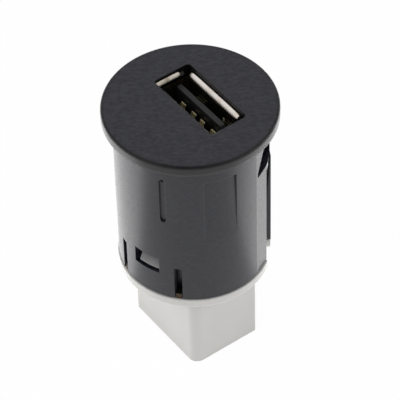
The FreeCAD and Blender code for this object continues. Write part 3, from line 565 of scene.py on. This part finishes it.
def chipFinish(name, deep, pale, roughness, look):
    material, tree, shader = startMaterial(name)
    grain = addNode(tree, "ShaderNodeGroup", {"Grain Size": look["grainSize"]},
                    node_tree=mouldGrain).outputs
    setInputs(tree, shader, {
        "Base Color": mixColor(tree, grain["Pits"], deep, pale),
        "Roughness": mathNode(tree, "MULTIPLY_ADD", grain["Drift"], look["driftRoughness"],
                              roughness + look["evenRoughness"]),
        "Normal": addBump(tree, grain["Height"], look["bump"], look["bumpDistance"]),
    })
    return material


for node, (deep, pale, roughness) in chipTones.items():
    finish(node, chipFinish(node + "Finish", deep, pale, roughness, chipLook))
print("stage: boards and chips")


def ringPiece(name, rings, material):
    # rings are levels x points x 3 in millimetres; neighbours are joined by quads, and each end
    # is a fan to its mean point; seen against the way the levels go, the points run anticlockwise
    rings = rings * millimetre
    levels, around = rings.shape[:2]
    middles = np.stack((rings[0].mean(0), rings[-1].mean(0)))
    points = np.concatenate((rings.reshape(-1, 3), middles))
    here = np.arange(around)
    after = np.roll(here, -1)
    starts = np.arange(levels - 1)[:, None] * around
    quads = np.stack((starts + here, starts + after,
                      starts + around + after, starts + around + here), -1)
    ends = levels * around
    last = ends - around
    firstFan = np.stack((np.full(around, ends), after, here), -1)
    lastFan = np.stack((np.full(around, ends + 1), last + here, last + after), -1)
    fans = np.concatenate((firstFan, lastFan))
    mesh = bpy.data.meshes.new(name)
    mesh.from_pydata(points.tolist(), [], quads.reshape(-1, 4).tolist() + fans.tolist())
    mesh.polygons.foreach_set("use_smooth", np.ones(len(mesh.polygons), bool))
    mesh.materials.append(material)
    mesh.update()
    piece = addObject(name, mesh)
    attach(piece, "root")
    return piece


def superEllipse(power, count):
    # a circle's cosine and sine, each raised to 2 over the power with its sign kept:
    # squarer as the power grows
    turn = np.linspace(0.0, 2.0 * np.pi, count, endpoint=False)
    wave = np.stack((np.cos(turn), np.sin(turn)), -1)
    return np.sign(wave) * np.abs(wave) ** (2.0 / power)


# rolled lips: half sizes are along, across and up the sheet; millimetres and degrees
lipPlaces = {
    "lipLongFar": {"middle": (-0.16, 4.27, 43.5), "along": "x", "lean": -55.0,
                   "half": (5.6, 0.19, 0.47)},
    "lipLongNear": {"middle": (-0.1, -0.93, 43.5), "along": "x", "lean": 55.0,
                    "half": (5.65, 0.17, 0.4)},
    "lipShortLeft": {"middle": (-6.34, 0.78, 43.95), "along": "y", "lean": -50.0,
                     "half": (2.05, 0.16, 0.38)},
    "lipShortRight": {"middle": (6.34, 0.78, 43.35), "along": "y", "lean": 50.0,
                      "half": (2.05, 0.16, 0.38)},
}
lipShape = {"roundedEnd": 6.0, "section": 2.4, "steps": 49, "around": 28}


def lipBar(name, look, shape, material):
    # an oval section carried along the lip; its size falls off as the sixth root of one minus
    # the reach to the sixth
    reach = -np.cos(np.linspace(0.0, np.pi, shape["steps"]))[1:-1]
    size = (1.0 - np.abs(reach) ** shape["roundedEnd"]) ** (1.0 / shape["roundedEnd"])
    oval = superEllipse(shape["section"], shape["around"])
    alongHalf, acrossHalf, tallHalf = look["half"]
    lean = math.radians(look["lean"])
    if look["along"] == "x":
        along = np.array((1.0, 0.0, 0.0))
        across = np.array((0.0, math.cos(lean), math.sin(lean)))
        tall = np.array((0.0, -math.sin(lean), math.cos(lean)))
    else:
        along = np.array((0.0, -1.0, 0.0))
        across = np.array((math.cos(lean), 0.0, -math.sin(lean)))
        tall = np.array((math.sin(lean), 0.0, math.cos(lean)))
    section = oval[:, :1] * acrossHalf * across + oval[:, 1:] * tallHalf * tall
    path = np.array(look["middle"]) + (reach * alongHalf)[:, None, None] * along
    ringPiece(name, path + size[:, None, None] * section, material)


lipPlates = {
    "x": platedMetal("nickelLip", lipLook),
    "y": platedMetal("shadedNickelLip", shadedLipLook),
}
for name, look in lipPlaces.items():
    lipBar(name, look, lipShape, lipPlates[look["along"]])
print("stage: port lips")

# the insulator: block in the back of the shell, then the tongue, whose far side slopes in to
# a narrow tip
tongueLook = {
    "power": 14.0,
    "around": 96,
    "sharpFrom": 35.0,
    # height, left, right, near and far reach in millimetres
    "levels": (
        (30.18, -6.24, 6.24, -0.86, 4.2),
        (32.1, -6.24, 6.24, -0.86, 4.2),
        (32.18, -6.16, 6.16, -0.78, 4.12),
        (32.19, -5.75, 5.45, 1.67, 3.51),
        (40.9, -5.75, 5.45, 1.67, 3.51),
        (41.3, -5.75, 5.3, 1.67, 3.4),
        (42.5, -5.75, 4.62, 1.68, 2.66),
        (42.64, -5.7, 4.5, 1.72, 2.6),
        (42.7, -5.64, 4.4, 1.78, 2.54),
    ),
}


def makeTongue(look, material):
    # each level is a squarish oval between its four reaches
    height, left, right, near, far = np.array(look["levels"]).T
    middle = np.stack((left + right, near + far), -1) / 2.0
    half = np.stack((right - left, far - near), -1) / 2.0
    flat = middle[:, None] + half[:, None] * superEllipse(look["power"], look["around"])
    tall = np.broadcast_to(height[:, None, None], (*flat.shape[:2], 1))
    piece = ringPiece("portTongueBody", np.concatenate((flat, tall), -1), material)
    piece.data.set_sharp_from_angle(angle=math.radians(look["sharpFrom"]))
    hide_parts("port_tongue")


makeTongue(tongueLook, mouldedPlastic("tonguePlastic", insulatorLook))
print("stage: tongue")

# solder at the terminals and at the contact tails, in millimetres
filletLook = {"pin": 0.3, "foot": 0.78, "height": 0.55, "levels": 9, "around": 20}
tailLook = {**filletLook, "pin": 0.24, "foot": 0.66, "height": 0.4, "lift": 0.08}
solder = platedMetal("solder", solderLook)


def solderFillet(name, foot, outward, look, material):
    # a round fillet that sinks to the board as the square of the way out from the pin
    rise = np.linspace(0.0, 1.0, look["levels"])
    radius = look["pin"] + (look["foot"] - look["pin"]) * (1.0 - rise) ** 2
    circle = superEllipse(2.0, look["around"])
    outward = np.array(outward, float)
    first = np.array((1.0, 0.0, 0.0))
    second = np.cross(outward, first)
    section = circle[:, :1] * first + circle[:, 1:] * second
    path = np.array(foot) + (rise * look["height"])[:, None, None] * outward
    ringPiece(name, path + radius[:, None, None] * section, material)


def nodeCorners(node):
    return [np.array(corner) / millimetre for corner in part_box(node)]


boardTop = nodeCorners("base_board")[1][2]
boardNear = nodeCorners("main_board")[0][1]
for number in range(1, terminalCount + 1):
    x, y = sum(nodeCorners("terminal_%d" % number))[:2] / 2.0
    solderFillet("terminalSolder_%d" % number, (x, y, boardTop), (0, 0, 1), filletLook, solder)
for number in range(1, contactCount + 1):
    low, high = nodeCorners("contact_%d" % number)
    foot = ((low[0] + high[0]) / 2.0, boardNear, low[2] + tailLook["lift"])
    solderFillet("tailSolder_%d" % number, foot, (0, -1, 0), tailLook, solder)
print("stage: solder")

# tinned ends of the chips: a squarish sleeve a little proud of the body over a share of its
# length at each end; millimetres and degrees
capLook = {"proud": 0.025, "share": 0.17, "power": 9.0, "around": 36, "edge": 0.04,
           "edgeSize": 0.97, "sharpFrom": 40.0}
cappedChips = ("bulk_capacitor", "resettable_fuse", "ferrite_bead", "filter_capacitor",
               "surge_protector", "common_mode_choke")


def chipCaps(node, look, material):
    # four squarish ovals along the chip, the outer two drawn in to soften the sleeve's edges
    low, high = nodeCorners(node)
    middle = (low + high) / 2.0
    half = (high - low) / 2.0 + look["proud"]
    oval = superEllipse(look["power"], look["around"])
    length = 2.0 * half[0] * look["share"]
    scale = np.array((look["edgeSize"], 1.0, 1.0, look["edgeSize"]))
    for side, tag in ((-1.0, "A"), (1.0, "B")):
        outer = middle[0] + side * half[0]
        first, last = sorted((outer, outer - side * length))
        spots = np.array((first, first + look["edge"], last - look["edge"], last))
        rings = np.empty((len(spots), look["around"], 3))
        rings[..., 0] = spots[:, None]
        rings[..., 1:] = middle[1:] + scale[:, None, None] * half[1:] * oval
        piece = ringPiece(node + "_cap" + tag, rings, material)
        piece.data.set_sharp_from_angle(angle=math.radians(look["sharpFrom"]))


for node in cappedChips:
    chipCaps(node, capLook, tinPlate)
print("stage: chip ends")

floorLook = {
    "reach": 3.0,
    "tone": (0.86, 0.86, 0.86),
    "paler": 1.02,  # the palest fibres against the tone
    "fibreScale": 40.0,
    "roughness": 0.9,
    "specular": 0.1,
    "seen": 0.97,  # how far the floor is lifted to white for what the camera sees directly
    "mirrored": 0.85,  # and for what is seen by reflection or through something
}


def makeFloor(look):
    # a square at height 0 that reaches as far along X and Y both ways
    reach = look["reach"]
    mesh = bpy.data.meshes.new("studioFloor")
    corners = [(-reach, -reach, 0), (reach, -reach, 0), (reach, reach, 0), (-reach, reach, 0)]
    mesh.from_pydata(corners, [], [(0, 1, 2, 3)])
    floor = addObject("studioFloor", mesh)
    material, tree, shader = startMaterial("studioPaper")
    fibre = addNoise(tree, objectPlace(tree), look["fibreScale"])
    paler = tuple(min(1.0, tone * look["paler"]) for tone in look["tone"])
    setInputs(tree, shader, {
        "Base Color": mixColor(tree, fibre, look["tone"], paler),
        "Roughness": look["roughness"],
        "Specular IOR Level": look["specular"],
    })
    glow = addNode(tree, "ShaderNodeEmission")
    rays = addNode(tree, "ShaderNodeLightPath").outputs
    mirrored = mathNode(tree, "MAXIMUM", rays["Is Glossy Ray"], rays["Is Transmission Ray"])
    seen = mathNode(tree, "MAXIMUM",
                    mathNode(tree, "MULTIPLY", rays["Is Camera Ray"], look["seen"]),
                    mathNode(tree, "MULTIPLY", mirrored, look["mirrored"]))
    mixed = addNode(tree, "ShaderNodeMixShader",
                    {0: seen, 1: shader.outputs[0], 2: glow.outputs[0]})
    setInputs(tree, tree.nodes["Material Output"], {"Surface": mixed.outputs[0]})
    mesh.materials.append(material)


worldLook = {
    "diffuse": 0.5,
    "seen": 1.0,
    "glossHigh": 0.8,  # brightness overhead in reflections
    "glossLow": 0.05,  # and near the horizon, where the room round the table is dark
    "lowTo": 0.3,  # sines of the heights between which one turns into the other
    "highFrom": 0.6,
}


def makeWorld(look):
    world = bpy.data.worlds.new("studioWorld")
    bpy.context.scene.world = world
    world.use_nodes = True
    tree = world.node_tree
    rays = addNode(tree, "ShaderNodeLightPath").outputs
    seen = mathNode(tree, "MAXIMUM", rays["Is Camera Ray"], rays["Is Transmission Ray"])
    # a world's Generated coordinates are the direction looked in, so z is the sine of the height
    direction = addNode(tree, "ShaderNodeTexCoord").outputs["Generated"]
    climb = addNode(tree, "ShaderNodeMapRange", {
        "Value": splitVector(tree, direction)[2],
        "From Min": look["lowTo"], "From Max": look["highFrom"],
        "To Min": look["glossLow"], "To Max": look["glossHigh"],
    }, interpolation_type="SMOOTHSTEP")
    lighting = addNode(tree, "ShaderNodeMix", data_type="FLOAT")
    setInputs(tree, lighting, {0: rays["Is Glossy Ray"], 2: look["diffuse"], 3: climb.outputs[0]})
    strength = addNode(tree, "ShaderNodeMix", data_type="FLOAT")
    setInputs(tree, strength, {0: seen, 2: lighting.outputs[0], 3: look["seen"]})
    setInputs(tree, tree.nodes["Background"],
              {"Color": (1, 1, 1, 1), "Strength": strength.outputs[0]})


# places are from a point near the middle of the part, in metres; power in watts
lampCentre = (0.0, 0.0, 0.025)
lampLooks = {
    "keyPanel": {"place": (0.02, -0.42, 0.32), "aim": (0.0, 0.0, 0.0),
                 "size": 0.35, "power": 0.95, "mirrored": False},
    "leftPanel": {"place": (-0.4, -0.3, 0.26), "aim": (0.0, 0.0, 0.0),
                  "size": 0.3, "power": 0.8, "mirrored": False},
    "rightPanel": {"place": (0.38, 0.3, 0.26), "aim": (0.0, 0.0, 0.0),
                   "size": 0.3, "power": 0.95, "mirrored": False},
    # two small light tables beside the part face up and brighten its left and right edges
    "leftTable": {"place": (-0.057, -0.024, -0.0245), "aim": (-0.057, -0.024, 1.0),
                  "size": 0.09, "power": 0.033, "mirrored": True},
    "rightTable": {"place": (0.0, 0.062, -0.0245), "aim": (0.0, 0.062, 1.0),
                   "size": 0.09, "power": 0.03, "mirrored": True},
}


def makeLamp(name, look):
    data = bpy.data.lights.new(name, "AREA")
    data.shape = "SQUARE"
    data.size = look["size"]
    data.energy = look["power"]
    lamp = addObject(name, data)
    place = Vector(look["place"])
    lamp.location = Vector(lampCentre) + place
    lamp.rotation_euler = (Vector(look["aim"]) - place).to_track_quat("-Z", "Y").to_euler()
    lamp.visible_camera = False
    lamp.visible_glossy = look["mirrored"]


# a dark card round the camera, met only by reflections, draws the dark line on the flange's
# near edge
cardLook = {
    "distance": 0.5,
    "halfWidth": 0.3,
    "halfHeight": 0.22,
    "tone": (0.02, 0.02, 0.022),
    "darker": 0.6,  # the darkest fibres against the tone
    "fibreScale": 300.0,
}


def makeCard(look):
    # a rectangle square to the line from the face to the camera, at a distance along it
    away = Vector(viewLook["place"]).normalized()
    across = Vector((-away.y, away.x, 0.0)).normalized()
    upward = away.cross(across)
    middle = Vector((0.0, 0.0, faceLevel)) + away * look["distance"]
    corners = [middle + across * look["halfWidth"] * i + upward * look["halfHeight"] * j
               for i, j in ((-1, -1), (1, -1), (1, 1), (-1, 1))]
    mesh = bpy.data.meshes.new("darkCard")
    mesh.from_pydata(corners, [], [(0, 1, 2, 3)])
    card = addObject("darkCard", mesh)
    material, tree, shader = startMaterial("darkFelt")
    felt = addNoise(tree, objectPlace(tree), look["fibreScale"])
    darker = tuple(tone * look["darker"] for tone in look["tone"])
    setInputs(tree, shader, {"Base Color": mixColor(tree, felt, look["tone"], darker),
                             "Roughness": 1.0})
    mesh.materials.append(material)
    for kind in ("camera", "diffuse", "transmission", "volume_scatter", "shadow"):
        setattr(card, "visible_" + kind, False)


makeFloor(floorLook)
makeWorld(worldLook)
makeCard(cardLook)
for name, look in lampLooks.items():
    makeLamp(name, look)
print("stage: floor and light")
